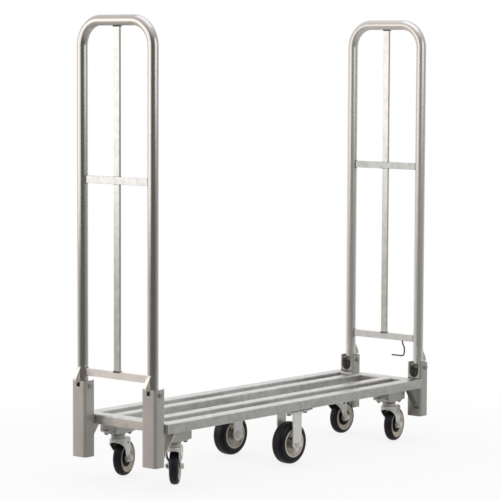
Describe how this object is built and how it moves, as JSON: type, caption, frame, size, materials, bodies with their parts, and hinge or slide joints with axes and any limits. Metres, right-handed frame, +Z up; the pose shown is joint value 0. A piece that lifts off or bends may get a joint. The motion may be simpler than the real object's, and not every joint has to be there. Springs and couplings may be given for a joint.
{
  "type": "folding utility cart",
  "caption": "Slatted aluminium deck on swivel and rigid casters, with an upright tube frame hinged to posts at each end so that both frames fold down over the deck.",
  "frame": {"origin": "on the floor under the middle of the cart", "axes": "+Z up, +X along the deck towards the end with the lower posts, -Y towards the picture's near side"},
  "size_m": [1.5688, 0.41, 1.593],
  "materials": {
    "satin_aluminium": "satin, drawn tube and flat bar",
    "deck_aluminium": "satin, extruded tube",
    "plug_aluminium": "machined, dull and dark",
    "zinc_steel": "bright zinc plate on stamped steel",
    "bolt_steel": "plated fastener steel",
    "dark_steel": "dark oiled steel rod",
    "tread_rubber": "matt black",
    "hub_plastic": "pale grey-beige moulding",
    "rim_metal": "cast wheel centre"
  },
  "bodies": {
    "deck": {"caster_mount_left_front": "satin_aluminium", "caster_mount_left_rear": "satin_aluminium", "caster_mount_right_front": "satin_aluminium", "caster_mount_right_rear": "satin_aluminium", "cross_plate_middle": "satin_aluminium", "end_rail_left": "deck_aluminium", "end_rail_right": "deck_aluminium", "pivot_bolt_left_front": "bolt_steel", "pivot_bolt_left_rear": "bolt_steel", "pivot_bolt_right_front": "bolt_steel", "pivot_bolt_right_rear": "bolt_steel", "post_left_front": "satin_aluminium", "post_left_rear": "satin_aluminium", "post_right_front": "satin_aluminium", "post_right_rear": "satin_aluminium", "rigid_axle_front": "bolt_steel", "rigid_axle_rear": "bolt_steel", "rigid_fork_front": "zinc_steel", "rigid_fork_rear": "zinc_steel", "side_rail_front": "deck_aluminium", "side_rail_rear": "deck_aluminium", "slat_front": "deck_aluminium", "slat_rear": "deck_aluminium", "top_plate_left_front": "zinc_steel", "top_plate_left_rear": "zinc_steel", "top_plate_right_front": "zinc_steel", "top_plate_right_rear": "zinc_steel"},
    "upright_left": {"centre_bar_left": "satin_aluminium", "hinge_plug_left_front": "plug_aluminium", "hinge_plug_left_rear": "plug_aluminium", "lower_bar_left": "satin_aluminium", "middle_bar_left": "satin_aluminium", "upright_tube_left": "satin_aluminium"},
    "upright_right": {"centre_bar_right": "satin_aluminium", "hinge_plug_right_front": "plug_aluminium", "hinge_plug_right_rear": "plug_aluminium", "lower_bar_right": "satin_aluminium", "middle_bar_right": "satin_aluminium", "upright_tube_right": "satin_aluminium", "storage_hook": "dark_steel"},
    "fork_left_front": {"fork_left_front": "zinc_steel", "axle_left_front": "bolt_steel"},
    "wheel_left_front": {"tread_left_front": "tread_rubber", "hub_left_front": "hub_plastic"},
    "fork_left_rear": {"fork_left_rear": "zinc_steel", "axle_left_rear": "bolt_steel"},
    "wheel_left_rear": {"tread_left_rear": "tread_rubber", "hub_left_rear": "hub_plastic"},
    "fork_right_front": {"fork_right_front": "zinc_steel", "axle_right_front": "bolt_steel"},
    "wheel_right_front": {"tread_right_front": "tread_rubber", "hub_right_front": "hub_plastic"},
    "fork_right_rear": {"fork_right_rear": "zinc_steel", "axle_right_rear": "bolt_steel"},
    "wheel_right_rear": {"tread_right_rear": "tread_rubber", "hub_right_rear": "hub_plastic"},
    "rigid_wheel_front": {"rigid_tread_front": "tread_rubber", "rigid_hub_front": "rim_metal"},
    "rigid_wheel_rear": {"rigid_tread_rear": "tread_rubber", "rigid_hub_rear": "rim_metal"}
  },
  "joints": [
    {"name": "fold_left", "type": "hinge", "parent": "deck", "child": "upright_left", "pos_m": [-0.7437, 0, 0.336], "axis": [0, 1, 0], "range_deg": [0, 90]},
    {"name": "fold_right", "type": "hinge", "parent": "deck", "child": "upright_right", "pos_m": [0.7437, 0, 0.278], "axis": [0, -1, 0], "range_deg": [0, 90]},
    {"name": "swivel_left_front", "type": "hinge", "parent": "deck", "child": "fork_left_front", "pos_m": [-0.605, -0.13, 0.15], "axis": [0, 0, 1], "continuous": true},
    {"name": "roll_left_front", "type": "hinge", "parent": "fork_left_front", "child": "wheel_left_front", "pos_m": [-0.56859, -0.10355, 0.0635], "axis": [-0.5878, 0.809, 0], "continuous": true},
    {"name": "swivel_left_rear", "type": "hinge", "parent": "deck", "child": "fork_left_rear", "pos_m": [-0.605, 0.13, 0.15], "axis": [0, 0, 1], "continuous": true},
    {"name": "roll_left_rear", "type": "hinge", "parent": "fork_left_rear", "child": "wheel_left_rear", "pos_m": [-0.56185, 0.14278, 0.0635], "axis": [-0.284, 0.9588, 0], "continuous": true},
    {"name": "swivel_right_front", "type": "hinge", "parent": "deck", "child": "fork_right_front", "pos_m": [0.605, -0.13, 0.15], "axis": [0, 0, 1], "continuous": true},
    {"name": "roll_right_front", "type": "hinge", "parent": "fork_right_front", "child": "wheel_right_front", "pos_m": [0.64932, -0.12219, 0.0635], "axis": [-0.1736, 0.9848, 0], "continuous": true},
    {"name": "swivel_right_rear", "type": "hinge", "parent": "deck", "child": "fork_right_rear", "pos_m": [0.605, 0.13, 0.15], "axis": [0, 0, 1], "continuous": true},
    {"name": "roll_right_rear", "type": "hinge", "parent": "fork_right_rear", "child": "wheel_right_rear", "pos_m": [0.65, 0.13039, 0.0635], "axis": [-0.0087, 1, 0], "continuous": true},
    {"name": "roll_rigid_front", "type": "hinge", "parent": "deck", "child": "rigid_wheel_front", "pos_m": [0, -0.139, 0.0762], "axis": [0, 1, 0], "continuous": true},
    {"name": "roll_rigid_rear", "type": "hinge", "parent": "deck", "child": "rigid_wheel_rear", "pos_m": [0, 0.139, 0.0762], "axis": [0, 1, 0], "continuous": true}
  ]
}
